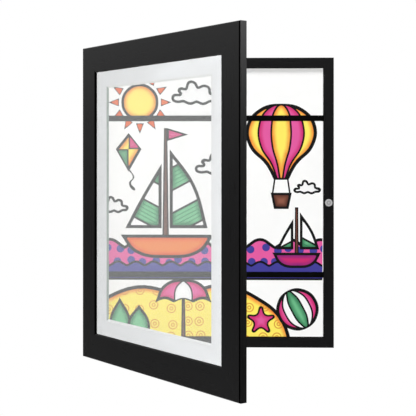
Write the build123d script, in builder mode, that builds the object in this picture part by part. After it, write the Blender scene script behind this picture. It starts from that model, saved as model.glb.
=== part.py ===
from build123d import *
import os
from math import cos, radians, sin

# Front-opening wall frame for children's drawings. A shallow box on the wall holds the sheets behind
# two elastic straps, and a glazed door with a window mat swings on two butt hinges at its left edge.
# The origin is the middle of the back panel's outer face, +Z is up, +X is to the right as seen from
# the room, and -Y is towards the room. The door is modelled where it stands open. Lengths are in mm.

# Door
DOOR_WIDTH = 319.0
DOOR_HEIGHT = 381.0
DOOR_THICKNESS = 8.5
DOOR_RAIL_WIDTH = 31.75
DOOR_LIP_THICKNESS = 2.2
DOOR_RABBET_WIDTH = 6.0
DOOR_EDGE_BEVEL = 0.8
DOOR_OVERHANG = 12.25
DOOR_GAP = 0.3
DOOR_OPEN_ANGLE = 52.5

# Storage box
BOX_DEPTH = 20.0
BOX_RAIL_WIDTH = 12.5
BOX_EDGE_BEVEL = 0.5
BOX_RABBET_WIDTH = 4.0
PANEL_THICKNESS = 3.0
PANEL_CLEARANCE = 0.3
RECESS_DEPTH = 6.5

# Glazing, mat and sheets
GLAZING_THICKNESS = 1.2
GLAZING_CLEARANCE = 0.5
MAT_THICKNESS = 2.0
MAT_SIDE_BORDER = 23.0
MAT_END_BORDER = 20.0
SHEET_THICKNESS = 0.4
SHEET_CLEARANCE = 1.6

# Elastic straps
STRAP_WIDTH = 7.0
STRAP_THICKNESS = 0.8
STRAP_TAB_LENGTH = 8.0
STRAP_BEND_RADIUS = 1.2
UPPER_STRAP_DROP = 61.75
LOWER_STRAP_RISE = 76.55

# Magnetic catch
MAGNET_DIAMETER = 9.0
MAGNET_LENGTH = 4.0
MAGNET_STANDS_OUT = 0.2
STRIKE_DIAMETER = 10.0
STRIKE_THICKNESS = 1.0

# Butt hinges
HINGE_LENGTH = 38.0
HINGE_END_DISTANCE = 53.25
LEAF_THICKNESS = 0.8
LEAF_EDGE_MARGIN = 1.5
LEAF_END_CLEARANCE = 0.2
PIN_RADIUS = 1.15
PIN_CLEARANCE = 0.05
PIN_HEAD_RADIUS = 1.8
PIN_HEAD_HEIGHT = 0.9
KNUCKLE_COUNT = 3
KNUCKLE_END_GAP = 0.3
KNUCKLE_CLEARANCE = 0.35
HINGE_SCREW_SPACING = 24.0

# Screws: the head's radius, the shank's radius and the whole length
HINGE_SCREW_HEAD_RADIUS = 1.7
HINGE_SCREW_SHANK_RADIUS = 0.9
DOOR_SCREW_LENGTH = 5.5
BOX_SCREW_LENGTH = 8.0
MAGNET_SCREW_HEAD_RADIUS = 2.6
MAGNET_SCREW_SHANK_RADIUS = 1.3
MAGNET_SCREW_LENGTH = 10.0
STRIKE_SCREW_HEAD_RADIUS = 1.8
STRIKE_SCREW_SHANK_RADIUS = 0.8
STRIKE_SCREW_LENGTH = 4.5
SHANK_SIDES = 6

# V-nails across the mitres
VEE_LEG = 6.0
VEE_THICKNESS = 0.5
VEE_HEIGHT_SHARE = 0.6
DOOR_VEE_INSET_SHARES = (0.22, 0.52)
BOX_VEE_INSET_SHARES = (0.16,)

# Flat points that keep the glazing and the mat in the door
POINT_LENGTH = 11.0
POINT_WIDTH = 5.0
POINT_THICKNESS = 0.4
POINT_DRIVEN_SHARE = 0.42
SIDE_POINT_SHARES = (-0.34, 0.0, 0.34)
END_POINT_SHARES = (-0.27, 0.27)

# Wire staples
PANEL_STAPLE_CROWN = 10.0
PANEL_STAPLE_LEG = 8.0
PANEL_STAPLE_WIRE = 0.9
PANEL_STAPLE_SET = 0.1
SIDE_STAPLE_SHARES = (-0.36, -0.12, 0.12, 0.36)
END_STAPLE_SHARES = (-0.3, 0.0, 0.3)
STRAP_STAPLE_CROWN = 5.0
STRAP_STAPLE_LEG = 5.0
STRAP_STAPLE_WIRE = 0.5
STRAP_STAPLE_SHARE = 0.5

# Sawtooth hangers and wall pads
HANGER_LENGTH = 44.0
HANGER_WIDTH = 7.6
HANGER_THICKNESS = 0.7
HANGER_RISE = 1.3
HANGER_RAISED_SHARE = 0.56
HANGER_RAMP = 2.0
TOOTH_COUNT = 8
TOOTH_DEPTH = 1.5
NAIL_HEAD_RADIUS = 1.5
NAIL_HEAD_HEIGHT = 0.5
NAIL_SHANK_RADIUS = 0.6
NAIL_LENGTH = 9.0
PAD_DIAMETER = 7.5

# Overrun of every cut past the face that it opens
OVERRUN = 1.0

# Derived sizes
BOX_WIDTH = DOOR_WIDTH - 2 * DOOR_OVERHANG
BOX_HEIGHT = DOOR_HEIGHT - 2 * DOOR_OVERHANG
BOX_INNER_WIDTH = BOX_WIDTH - 2 * BOX_RAIL_WIDTH
BOX_INNER_HEIGHT = BOX_HEIGHT - 2 * BOX_RAIL_WIDTH
SIGHT_WIDTH = DOOR_WIDTH - 2 * DOOR_RAIL_WIDTH
SIGHT_HEIGHT = DOOR_HEIGHT - 2 * DOOR_RAIL_WIDTH
DOOR_RABBET_DEPTH = DOOR_THICKNESS - DOOR_LIP_THICKNESS
MAT_WINDOW_WIDTH = SIGHT_WIDTH - 2 * MAT_SIDE_BORDER
MAT_WINDOW_HEIGHT = SIGHT_HEIGHT - 2 * MAT_END_BORDER
GLAZING_WIDTH = SIGHT_WIDTH + 2 * (DOOR_RABBET_WIDTH - GLAZING_CLEARANCE)
GLAZING_HEIGHT = SIGHT_HEIGHT + 2 * (DOOR_RABBET_WIDTH - GLAZING_CLEARANCE)
PANEL_WIDTH = BOX_INNER_WIDTH + 2 * (BOX_RABBET_WIDTH - PANEL_CLEARANCE)
PANEL_HEIGHT = BOX_INNER_HEIGHT + 2 * (BOX_RABBET_WIDTH - PANEL_CLEARANCE)
SHEET_WIDTH = BOX_INNER_WIDTH - 2 * SHEET_CLEARANCE
SHEET_HEIGHT = BOX_INNER_HEIGHT - 2 * SHEET_CLEARANCE
UPPER_STRAP_HEIGHT = BOX_INNER_HEIGHT / 2 - UPPER_STRAP_DROP
LOWER_STRAP_HEIGHT = LOWER_STRAP_RISE - BOX_INNER_HEIGHT / 2
STACK_THICKNESS = BOX_DEPTH - RECESS_DEPTH - SHEET_THICKNESS - PANEL_THICKNESS
HANGER_STANDS_OUT = HANGER_THICKNESS + HANGER_RISE

# The hinge pin's axis lies as far from the box's side as from the closed door's back
BORE_RADIUS = PIN_RADIUS + PIN_CLEARANCE
KNUCKLE_RADIUS = BORE_RADIUS + LEAF_THICKNESS
KNUCKLE_LENGTH = HINGE_LENGTH / KNUCKLE_COUNT
PLATE_START = KNUCKLE_RADIUS + KNUCKLE_CLEARANCE
LEAF_WIDTH = DOOR_OVERHANG - BORE_RADIUS - LEAF_EDGE_MARGIN
HINGE_X = -BOX_WIDTH / 2 - BORE_RADIUS
HINGE_Y = -BOX_DEPTH - DOOR_GAP + BORE_RADIUS
HINGE_HEIGHT = BOX_HEIGHT / 2 - HINGE_END_DISTANCE
HINGE_PLACES = {
    "lower": (HINGE_X, HINGE_Y, -HINGE_HEIGHT),
    "upper": (HINGE_X, HINGE_Y, HINGE_HEIGHT),
}

# Door planes, all with z towards the room side of the door: on the pin's axis, on the door's back,
# and on the front of each layer. Their x runs from the hinge side to the latch side, and y is up.
OPEN_ANGLE = radians(DOOR_OPEN_ANGLE)
DOOR_ALONG = Vector(cos(OPEN_ANGLE), -sin(OPEN_ANGLE), 0)
DOOR_OUTWARD = Vector(-sin(OPEN_ANGLE), -cos(OPEN_ANGLE), 0)
pin_plane = Plane(origin=(HINGE_X, HINGE_Y, 0), x_dir=DOOR_ALONG, z_dir=DOOR_OUTWARD)
door_middle = DOOR_WIDTH / 2 - DOOR_OVERHANG + BORE_RADIUS
door_back = Plane(
    origin=pin_plane.from_local_coords((door_middle, 0, BORE_RADIUS)),
    x_dir=DOOR_ALONG,
    z_dir=DOOR_OUTWARD,
)
mat_back = door_back.offset(DOOR_RABBET_DEPTH - GLAZING_THICKNESS - MAT_THICKNESS)
glazing_back = door_back.offset(DOOR_RABBET_DEPTH - GLAZING_THICKNESS)

# Box planes, with z towards the room, on the wall side and on the front rim
box_back = Plane.XZ
box_front = Plane.XZ.offset(BOX_DEPTH)

os.makedirs("parts", exist_ok=True)


def save(piece, label):
    """Names a finished piece and writes it as its own file."""
    piece.part.label = label
    export_step(piece.part, f"parts/{label}.step")
    return piece


def turned(plane, x, y, angle):
    """A plane at x, y of another one, turned in it by an angle in degrees."""
    along = plane.x_dir.rotate(Axis((0, 0, 0), plane.z_dir), angle)
    return Plane(origin=plane.from_local_coords((x, y, 0)), x_dir=along, z_dir=plane.z_dir)


def rail_planes(back, width, height):
    """The planes of a frame's four rails: x along the outer edge, y inwards, z to the room."""
    return {
        "bottom": (turned(back, 0, -height / 2, 0), width),
        "latch": (turned(back, width / 2, 0, 90), height),
        "top": (turned(back, 0, height / 2, 180), width),
        "hinge": (turned(back, -width / 2, 0, 270), height),
    }


def mitred_rail(plane, length, width, thickness, rabbet_width, rabbet_start, rabbet_end, bevel):
    """A rail with 45 degree ends, bevelled front edges and one rabbet along its inner edge."""
    with BuildPart() as rail:
        with BuildSketch(plane):
            Trapezoid(length, width, 45, align=(Align.CENTER, Align.MIN))
        extrude(amount=thickness)
        front = rail.faces().sort_by(Axis(plane.origin, plane.z_dir))[-1]
        chamfer(front.edges().filter_by(Axis(plane.origin, plane.x_dir)), bevel)
        with BuildSketch(plane.offset(rabbet_start)):
            with Locations((0, width - rabbet_width)):
                Rectangle(length, rabbet_width + OVERRUN, align=(Align.CENTER, Align.MIN))
        extrude(amount=rabbet_end - rabbet_start, mode=Mode.SUBTRACT)
    return rail


def fitted(blank, *cutters):
    """The blank with the seats of what is let or driven into it."""
    with BuildPart() as piece:
        add(blank.part)
        for cutter in cutters:
            add(cutter.part, mode=Mode.SUBTRACT)
    return piece


def corner_vees(back, width, height, inset_values, depth):
    """V-nails driven from behind, one leg in each rail of a mitre."""
    with BuildPart() as nails:
        for corner in range(4):
            across = width if corner % 2 == 0 else height
            along = height if corner % 2 == 0 else width
            side = turned(back, 0, 0, 90 * corner)
            for inset in inset_values:
                apex = turned(side, inset - across / 2, inset - along / 2, 0)
                with BuildSketch(apex):
                    Rectangle(VEE_LEG, VEE_THICKNESS, align=(Align.MIN, Align.CENTER))
                    Rectangle(VEE_THICKNESS, VEE_LEG, align=(Align.CENTER, Align.MIN))
                    Rectangle(VEE_THICKNESS, VEE_THICKNESS)
                extrude(amount=depth)
    return nails


def countersunk_screws(places, head_radius, shank_radius, length, opening=0):
    """Countersunk screws, each flush with a plane whose z points out of the surface.

    The hidden shanks have flat sides. With an opening the screws are the cutters of their own
    holes, that much past the surface.
    """
    head_height = head_radius - shank_radius
    with BuildPart() as screws:
        for place in places:
            section = Plane(origin=place.origin, x_dir=place.x_dir, z_dir=-place.y_dir)
            with BuildSketch(section):
                with BuildLine():
                    Polyline(
                        (0, 0),
                        (head_radius, 0),
                        (shank_radius, -head_height),
                        (0, -head_height),
                        close=True,
                    )
                make_face()
            revolve(axis=Axis(place.origin, place.z_dir))
            with BuildSketch(place.offset(-head_height)):
                RegularPolygon(shank_radius, SHANK_SIDES)
            extrude(amount=head_height - length)
            if opening > 0:
                with BuildSketch(place):
                    Circle(head_radius)
                extrude(amount=opening)
    return screws


def wire_staples(places, crown, leg, wire):
    """Wire staples, each in the plane of its crown: x along the crown, z against the legs."""
    with BuildPart() as staples:
        for place in places:
            with BuildSketch(Plane(origin=place.origin, x_dir=place.x_dir, z_dir=-place.y_dir)):
                with Locations((0, wire)):
                    Rectangle(crown, leg + wire, align=(Align.CENTER, Align.MAX))
                Rectangle(crown - 2 * wire, leg, align=(Align.CENTER, Align.MAX), mode=Mode.SUBTRACT)
            extrude(amount=wire / 2, both=True)
    return staples


# Fasteners and fittings that are let or driven into the door's rails
door_vees = corner_vees(
    door_back,
    DOOR_WIDTH,
    DOOR_HEIGHT,
    [share * DOOR_RAIL_WIDTH for share in DOOR_VEE_INSET_SHARES],
    VEE_HEIGHT_SHARE * DOOR_THICKNESS,
)
save(door_vees, "door_corner_nails")

point_seat = POINT_DRIVEN_SHARE * POINT_LENGTH
wall_x = SIGHT_WIDTH / 2 + DOOR_RABBET_WIDTH
wall_y = SIGHT_HEIGHT / 2 + DOOR_RABBET_WIDTH
points_plane = mat_back.offset(-POINT_THICKNESS)
point_places = [turned(points_plane, wall_x, s * SIGHT_HEIGHT, 0) for s in SIDE_POINT_SHARES]
point_places += [turned(points_plane, -wall_x, s * SIGHT_HEIGHT, 180) for s in SIDE_POINT_SHARES]
point_places += [turned(points_plane, s * SIGHT_WIDTH, wall_y, 90) for s in END_POINT_SHARES]
point_places += [turned(points_plane, s * SIGHT_WIDTH, -wall_y, 270) for s in END_POINT_SHARES]
with BuildPart() as points:
    for place in point_places:
        with BuildSketch(place):
            with BuildLine():
                Polyline(
                    (point_seat - POINT_LENGTH, -POINT_WIDTH / 2),
                    (point_seat - POINT_WIDTH / 2, -POINT_WIDTH / 2),
                    (point_seat, 0),
                    (point_seat - POINT_WIDTH / 2, POINT_WIDTH / 2),
                    (point_seat - POINT_LENGTH, POINT_WIDTH / 2),
                    close=True,
                )
            make_face()
        extrude(amount=POINT_THICKNESS)
save(points, "glazing_points")

catch_x = BOX_WIDTH / 2 - BOX_RAIL_WIDTH / 2
strike_place = Plane(
    origin=door_back.from_local_coords((catch_x, 0, 0)), x_dir=-DOOR_ALONG, z_dir=-DOOR_OUTWARD
)
strike_screw_size = (STRIKE_SCREW_HEAD_RADIUS, STRIKE_SCREW_SHANK_RADIUS, STRIKE_SCREW_LENGTH)
strike_screw_seat = countersunk_screws([strike_place], *strike_screw_size, OVERRUN)
save(countersunk_screws([strike_place], *strike_screw_size), "strike_screw")
with BuildPart() as strike_blank:
    with BuildSketch(strike_place):
        Circle(STRIKE_DIAMETER / 2)
    extrude(amount=-STRIKE_THICKNESS)
save(fitted(strike_blank, strike_screw_seat), "strike_disc")


# Butt hinges
door_screw_size = (HINGE_SCREW_HEAD_RADIUS, HINGE_SCREW_SHANK_RADIUS, DOOR_SCREW_LENGTH)
box_screw_size = (HINGE_SCREW_HEAD_RADIUS, HINGE_SCREW_SHANK_RADIUS, BOX_SCREW_LENGTH)


def hinge_leaf(leaf_plane, knuckles):
    """A leaf around the middle of its pin: x away from the pin, y along it, z towards the wood.

    Its plate lies between the bore's radius and the knuckle's. It reaches the pin only at the
    knuckles that are listed, counted along y.
    """
    foot = leaf_plane.from_local_coords((0, -HINGE_LENGTH / 2, 0))
    plate_plane = Plane(origin=foot, x_dir=leaf_plane.x_dir, z_dir=leaf_plane.z_dir).offset(BORE_RADIUS)
    section = Plane(origin=foot, x_dir=leaf_plane.x_dir, z_dir=leaf_plane.y_dir)
    with BuildPart() as leaf:
        with BuildSketch(plate_plane):
            with Locations((PLATE_START, 0)):
                Rectangle(LEAF_WIDTH - PLATE_START, HINGE_LENGTH, align=(Align.MIN, Align.MIN))
            for number in knuckles:
                with Locations((0, knuckle_start(number))):
                    Rectangle(LEAF_WIDTH, knuckle_length(number), align=(Align.MIN, Align.MIN))
        extrude(amount=LEAF_THICKNESS)
        for number in knuckles:
            with BuildSketch(section.offset(knuckle_start(number))):
                Circle(KNUCKLE_RADIUS)
            extrude(amount=knuckle_length(number))
        with BuildSketch(section):
            Circle(BORE_RADIUS)
        extrude(amount=HINGE_LENGTH, mode=Mode.SUBTRACT)
        holes = countersunk_screws(leaf_screw_places(leaf_plane), *box_screw_size, OVERRUN)
        add(holes.part, mode=Mode.SUBTRACT)
    return leaf


def knuckle_start(number):
    """Where a knuckle begins along the hinge, with its share of the running gap before it."""
    return number * KNUCKLE_LENGTH + (KNUCKLE_END_GAP / 2 if number > 0 else 0)


def knuckle_length(number):
    """A knuckle's length between its running gaps."""
    top = (number + 1) * KNUCKLE_LENGTH - (KNUCKLE_END_GAP / 2 if number < KNUCKLE_COUNT - 1 else 0)
    return top - knuckle_start(number)


def leaf_screw_places(leaf_plane):
    """Planes on the leaf's outer face at its two screws, z out of the leaf."""
    across = (PLATE_START + LEAF_WIDTH) / 2
    return [
        Plane(
            origin=leaf_plane.from_local_coords((across, along, BORE_RADIUS)),
            x_dir=-leaf_plane.x_dir,
            z_dir=-leaf_plane.z_dir,
        )
        for along in (-HINGE_SCREW_SPACING / 2, HINGE_SCREW_SPACING / 2)
    ]


def hinge_seat(leaf_plane):
    """The mortise of a leaf, the groove of its knuckles and the room above for the pin's head."""
    section = Plane(origin=leaf_plane.origin, x_dir=leaf_plane.x_dir, z_dir=leaf_plane.y_dir)
    with BuildPart() as seat:
        with BuildSketch(section):
            Circle(KNUCKLE_RADIUS + KNUCKLE_CLEARANCE)
            Rectangle(LEAF_WIDTH + LEAF_END_CLEARANCE, KNUCKLE_RADIUS, align=(Align.MIN, Align.MAX))
        extrude(amount=HINGE_LENGTH / 2 + LEAF_END_CLEARANCE, both=True)
        with BuildSketch(Plane(origin=leaf_plane.origin)):
            Circle(PIN_HEAD_RADIUS + KNUCKLE_CLEARANCE)
        extrude(amount=HINGE_LENGTH / 2 + PIN_HEAD_HEIGHT + 2 * LEAF_END_CLEARANCE)
    return seat


middle_knuckles = range(1, KNUCKLE_COUNT, 2)
end_knuckles = range(0, KNUCKLE_COUNT, 2)
door_screw_places = []
box_screw_places = []
door_hinge_seats = []
box_hinge_seats = []
for name, pin_middle in HINGE_PLACES.items():
    door_leaf_plane = Plane(origin=pin_middle, x_dir=-DOOR_ALONG, z_dir=DOOR_OUTWARD)
    box_leaf_plane = Plane(origin=pin_middle, x_dir=(0, 1, 0), z_dir=(1, 0, 0))
    save(hinge_leaf(door_leaf_plane, middle_knuckles), f"{name}_hinge_door_leaf")
    save(hinge_leaf(box_leaf_plane, end_knuckles), f"{name}_hinge_box_leaf")
    door_screw_places += leaf_screw_places(door_leaf_plane)
    box_screw_places += leaf_screw_places(box_leaf_plane)
    door_hinge_seats.append(hinge_seat(door_leaf_plane))
    box_hinge_seats.append(hinge_seat(box_leaf_plane))

with BuildPart() as pins:
    for pin_middle in HINGE_PLACES.values():
        with BuildSketch(Plane(origin=pin_middle)):
            Circle(PIN_RADIUS)
        extrude(amount=HINGE_LENGTH / 2, both=True)
        with BuildSketch(Plane(origin=pin_middle).offset(HINGE_LENGTH / 2)):
            Circle(PIN_HEAD_RADIUS)
        extrude(amount=PIN_HEAD_HEIGHT)
save(pins, "hinge_pins")
save(countersunk_screws(door_screw_places, *door_screw_size), "hinge_door_screws")
save(countersunk_screws(box_screw_places, *box_screw_size), "hinge_box_screws")
door_screw_seats = countersunk_screws(door_screw_places, *door_screw_size, OVERRUN)
box_screw_seats = countersunk_screws(box_screw_places, *box_screw_size, OVERRUN)

# Door rails
door_extra = {
    "bottom": (),
    "top": (),
    "latch": (strike_blank, strike_screw_seat),
    "hinge": (door_screw_seats, *door_hinge_seats),
}
door_names = {
    "bottom": "door_bottom_rail",
    "top": "door_top_rail",
    "latch": "door_latch_stile",
    "hinge": "door_hinge_stile",
}
for side, (plane, length) in rail_planes(door_back, DOOR_WIDTH, DOOR_HEIGHT).items():
    rail = mitred_rail(
        plane,
        length,
        DOOR_RAIL_WIDTH,
        DOOR_THICKNESS,
        DOOR_RABBET_WIDTH,
        -OVERRUN,
        DOOR_RABBET_DEPTH,
        DOOR_EDGE_BEVEL,
    )
    save(fitted(rail, door_vees, points, *door_extra[side]), door_names[side])

# Glazing, and the mat with its bevel-cut window
with BuildPart() as glazing:
    with BuildSketch(glazing_back):
        Rectangle(GLAZING_WIDTH, GLAZING_HEIGHT)
    extrude(amount=GLAZING_THICKNESS)
save(glazing, "glazing_sheet")

with BuildPart() as mat:
    with BuildSketch(mat_back):
        Rectangle(GLAZING_WIDTH, GLAZING_HEIGHT)
    extrude(amount=MAT_THICKNESS)
    with BuildSketch(mat_back):
        Rectangle(MAT_WINDOW_WIDTH, MAT_WINDOW_HEIGHT)
    with BuildSketch(mat_back.offset(MAT_THICKNESS)):
        Rectangle(MAT_WINDOW_WIDTH + 2 * MAT_THICKNESS, MAT_WINDOW_HEIGHT + 2 * MAT_THICKNESS)
    loft(mode=Mode.SUBTRACT)
save(mat, "window_mat")

# Back panel with its staples, set into the box's rear rabbet
staple_x = BOX_INNER_WIDTH / 2 + BOX_RABBET_WIDTH / 2
staple_y = BOX_INNER_HEIGHT / 2 + BOX_RABBET_WIDTH / 2
staple_back = Plane(origin=(0, -PANEL_STAPLE_SET - PANEL_STAPLE_WIRE, 0), x_dir=(-1, 0, 0), z_dir=(0, 1, 0))
panel_staple_places = [
    turned(staple_back, side * staple_x, share * BOX_INNER_HEIGHT, 90)
    for side in (-1, 1)
    for share in SIDE_STAPLE_SHARES
]
panel_staple_places += [
    turned(staple_back, share * BOX_INNER_WIDTH, side * staple_y, 0)
    for side in (-1, 1)
    for share in END_STAPLE_SHARES
]
panel_staples = wire_staples(panel_staple_places, PANEL_STAPLE_CROWN, PANEL_STAPLE_LEG, PANEL_STAPLE_WIRE)
save(panel_staples, "panel_staples")

with BuildPart() as panel:
    with BuildSketch(box_back):
        Rectangle(PANEL_WIDTH, PANEL_HEIGHT)
    extrude(amount=PANEL_THICKNESS)
    add(panel_staples.part, mode=Mode.SUBTRACT)
    for place in panel_staple_places:
        with BuildSketch(place.offset(PANEL_STAPLE_WIRE)):
            Rectangle(PANEL_STAPLE_CROWN, PANEL_STAPLE_WIRE)
        extrude(amount=PANEL_STAPLE_SET, mode=Mode.SUBTRACT)
save(panel, "back_panel")

# Stored sheets and the drawing in front of them
with BuildPart() as stack:
    with BuildSketch(box_back.offset(PANEL_THICKNESS)):
        Rectangle(SHEET_WIDTH, SHEET_HEIGHT)
    extrude(amount=STACK_THICKNESS)
save(stack, "stored_sheets")

with BuildPart() as drawing:
    with BuildSketch(box_back.offset(PANEL_THICKNESS + STACK_THICKNESS)):
        Rectangle(SHEET_WIDTH, SHEET_HEIGHT)
    extrude(amount=SHEET_THICKNESS)
save(drawing, "drawing_sheet")

# Elastic straps: a band across the drawing whose ends turn back along the box's sides
sheet_front = BOX_DEPTH - RECESS_DEPTH
strap_heights = {"upper_strap": UPPER_STRAP_HEIGHT, "lower_strap": LOWER_STRAP_HEIGHT}
strap_staple_places = [
    Plane(
        origin=(
            side * (BOX_INNER_WIDTH / 2 - STRAP_THICKNESS),
            -sheet_front + STRAP_STAPLE_SHARE * STRAP_TAB_LENGTH,
            height,
        ),
        x_dir=(0, 0, 1),
        z_dir=(-side, 0, 0),
    )
    for height in strap_heights.values()
    for side in (-1, 1)
]
strap_staples = wire_staples(strap_staple_places, STRAP_STAPLE_CROWN, STRAP_STAPLE_LEG, STRAP_STAPLE_WIRE)
save(strap_staples, "strap_staples")

for name, height in strap_heights.items():
    with BuildPart() as strap:
        with BuildSketch(Plane.XY.offset(height)):
            with Locations((0, -sheet_front - STRAP_THICKNESS)):
                Rectangle(
                    BOX_INNER_WIDTH,
                    STRAP_THICKNESS + STRAP_TAB_LENGTH,
                    align=(Align.CENTER, Align.MIN),
                )
            with Locations((0, -sheet_front)):
                Rectangle(
                    BOX_INNER_WIDTH - 2 * STRAP_THICKNESS,
                    STRAP_TAB_LENGTH,
                    align=(Align.CENTER, Align.MIN),
                    mode=Mode.SUBTRACT,
                )
        extrude(amount=STRAP_WIDTH / 2, both=True)
        front = strap.faces().sort_by(Axis.Y)[0]
        fillet(front.edges().filter_by(Axis.Z), STRAP_BEND_RADIUS)
        add(strap_staples.part, mode=Mode.SUBTRACT)
    save(strap, name)

# Magnet in the box's rim, and its screw
magnet_place = Plane(
    origin=box_front.from_local_coords((catch_x, 0, MAGNET_STANDS_OUT)), x_dir=(1, 0, 0), z_dir=(0, -1, 0)
)
magnet_screw_size = (MAGNET_SCREW_HEAD_RADIUS, MAGNET_SCREW_SHANK_RADIUS, MAGNET_SCREW_LENGTH)
magnet_screw_seat = countersunk_screws([magnet_place], *magnet_screw_size, OVERRUN)
save(countersunk_screws([magnet_place], *magnet_screw_size), "magnet_screw")
with BuildPart() as magnet_blank:
    with BuildSketch(magnet_place):
        Circle(MAGNET_DIAMETER / 2)
    extrude(amount=-MAGNET_LENGTH)
save(fitted(magnet_blank, magnet_screw_seat), "catch_magnet")

# Nails and sawtooth hangers on the back of the top rail and of the hinge side
box_wall = Plane(origin=(0, 0, 0), x_dir=(-1, 0, 0), z_dir=(0, 1, 0))
land_middle = (BOX_RAIL_WIDTH - BOX_RABBET_WIDTH) / 2
hanger_places = {
    "portrait_hanger": turned(box_wall, 0, BOX_HEIGHT / 2 - land_middle, 0),
    "landscape_hanger": turned(box_wall, BOX_WIDTH / 2 - land_middle, 0, -90),
}
raised_half = HANGER_RAISED_SHARE * HANGER_LENGTH / 2
nail_reach = (HANGER_LENGTH / 2 + raised_half + HANGER_RAMP) / 2
tooth_pitch = 2 * raised_half / TOOTH_COUNT
with BuildPart() as hanger_nails:
    for place in hanger_places.values():
        for reach in (-nail_reach, nail_reach):
            under_head = turned(place, reach, 0, 0).offset(HANGER_THICKNESS)
            with BuildSketch(under_head):
                Circle(NAIL_HEAD_RADIUS)
            extrude(amount=NAIL_HEAD_HEIGHT)
            with BuildSketch(under_head):
                RegularPolygon(NAIL_SHANK_RADIUS, SHANK_SIDES)
            extrude(amount=-NAIL_LENGTH)
save(hanger_nails, "hanger_nails")

for name, place in hanger_places.items():
    section = Plane(origin=place.origin, x_dir=place.x_dir, z_dir=-place.y_dir)
    with BuildPart() as hanger:
        with BuildSketch(section):
            with BuildLine():
                Polyline(
                    (-HANGER_LENGTH / 2, 0),
                    (-raised_half - HANGER_RAMP, 0),
                    (-raised_half, HANGER_RISE),
                    (raised_half, HANGER_RISE),
                    (raised_half + HANGER_RAMP, 0),
                    (HANGER_LENGTH / 2, 0),
                    (HANGER_LENGTH / 2, HANGER_THICKNESS),
                    (raised_half + HANGER_RAMP, HANGER_THICKNESS),
                    (raised_half, HANGER_STANDS_OUT),
                    (-raised_half, HANGER_STANDS_OUT),
                    (-raised_half - HANGER_RAMP, HANGER_THICKNESS),
                    (-HANGER_LENGTH / 2, HANGER_THICKNESS),
                    close=True,
                )
            make_face()
        extrude(amount=HANGER_WIDTH / 2, both=True)
        with BuildSketch(place):
            with Locations((0, -HANGER_WIDTH / 2)):
                with GridLocations(tooth_pitch, 0, TOOTH_COUNT, 1):
                    with BuildLine():
                        Polyline(
                            (-tooth_pitch / 2, 0),
                            (0, TOOTH_DEPTH),
                            (tooth_pitch / 2, 0),
                            close=True,
                        )
                    make_face()
        extrude(amount=HANGER_STANDS_OUT, mode=Mode.SUBTRACT)
        add(hanger_nails.part, mode=Mode.SUBTRACT)
    save(hanger, name)

with BuildPart() as wall_pads:
    with BuildSketch(box_wall):
        with Locations((0, land_middle - BOX_HEIGHT / 2)):
            with GridLocations(BOX_WIDTH - 2 * land_middle, 0, 2, 1):
                Circle(PAD_DIAMETER / 2)
    extrude(amount=HANGER_STANDS_OUT)
save(wall_pads, "wall_pads")

# Box rails
box_vees = corner_vees(
    box_back,
    BOX_WIDTH,
    BOX_HEIGHT,
    [share * BOX_RAIL_WIDTH for share in BOX_VEE_INSET_SHARES],
    VEE_HEIGHT_SHARE * BOX_DEPTH,
)
save(box_vees, "box_corner_nails")

box_extra = {
    "bottom": (),
    "top": (hanger_nails,),
    "latch": (strap_staples, magnet_blank, magnet_screw_seat),
    "hinge": (strap_staples, hanger_nails, box_screw_seats, *box_hinge_seats),
}
box_names = {
    "bottom": "box_bottom_rail",
    "top": "box_top_rail",
    "latch": "box_latch_side",
    "hinge": "box_hinge_side",
}
for side, (plane, length) in rail_planes(box_back, BOX_WIDTH, BOX_HEIGHT).items():
    rail = mitred_rail(
        plane,
        length,
        BOX_RAIL_WIDTH,
        BOX_DEPTH,
        BOX_RABBET_WIDTH,
        -OVERRUN,
        PANEL_THICKNESS,
        BOX_EDGE_BEVEL,
    )
    save(fitted(rail, box_vees, panel_staples, *box_extra[side]), box_names[side])
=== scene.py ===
import math

import bmesh
import bpy
from bpy.props import FloatProperty, FloatVectorProperty, PointerProperty
from mathutils import Matrix, Vector
from mathutils.kdtree import KDTree


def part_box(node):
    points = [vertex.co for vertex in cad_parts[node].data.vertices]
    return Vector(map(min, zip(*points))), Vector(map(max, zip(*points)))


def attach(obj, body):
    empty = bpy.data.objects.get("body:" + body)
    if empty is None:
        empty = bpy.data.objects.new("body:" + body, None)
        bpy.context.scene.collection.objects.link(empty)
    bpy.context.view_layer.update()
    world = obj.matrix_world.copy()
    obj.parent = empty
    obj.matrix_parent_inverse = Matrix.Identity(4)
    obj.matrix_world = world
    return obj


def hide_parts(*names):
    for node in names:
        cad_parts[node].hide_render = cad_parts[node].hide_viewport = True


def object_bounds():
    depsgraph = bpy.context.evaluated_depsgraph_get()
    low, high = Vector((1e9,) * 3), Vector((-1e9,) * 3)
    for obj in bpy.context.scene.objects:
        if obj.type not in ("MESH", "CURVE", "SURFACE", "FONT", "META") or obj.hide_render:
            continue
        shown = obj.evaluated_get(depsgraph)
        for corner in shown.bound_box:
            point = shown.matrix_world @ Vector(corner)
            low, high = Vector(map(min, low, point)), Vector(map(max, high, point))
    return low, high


bl_info = {
    "name": "Front-opening picture frame",
    "version": (1, 0, 0),
    "blender": (4, 5, 0),
    "location": "3D View > Sidebar > Picture Frame",
    "description": "Finishes, straps, drawing and studio for a wall frame whose glazed door swings open",
    "category": "Object",
}

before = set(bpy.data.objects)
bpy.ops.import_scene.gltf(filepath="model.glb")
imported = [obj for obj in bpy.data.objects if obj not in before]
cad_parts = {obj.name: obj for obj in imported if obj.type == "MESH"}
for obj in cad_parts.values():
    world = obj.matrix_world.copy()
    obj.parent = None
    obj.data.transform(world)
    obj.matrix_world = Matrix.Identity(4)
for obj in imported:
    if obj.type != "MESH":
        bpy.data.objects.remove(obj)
CAD_LOW, CAD_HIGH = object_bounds()
MM = 0.001
SNAP = 0.01 * MM
UPRIGHT = Matrix.Rotation(math.radians(90), 3, "X")

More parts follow.
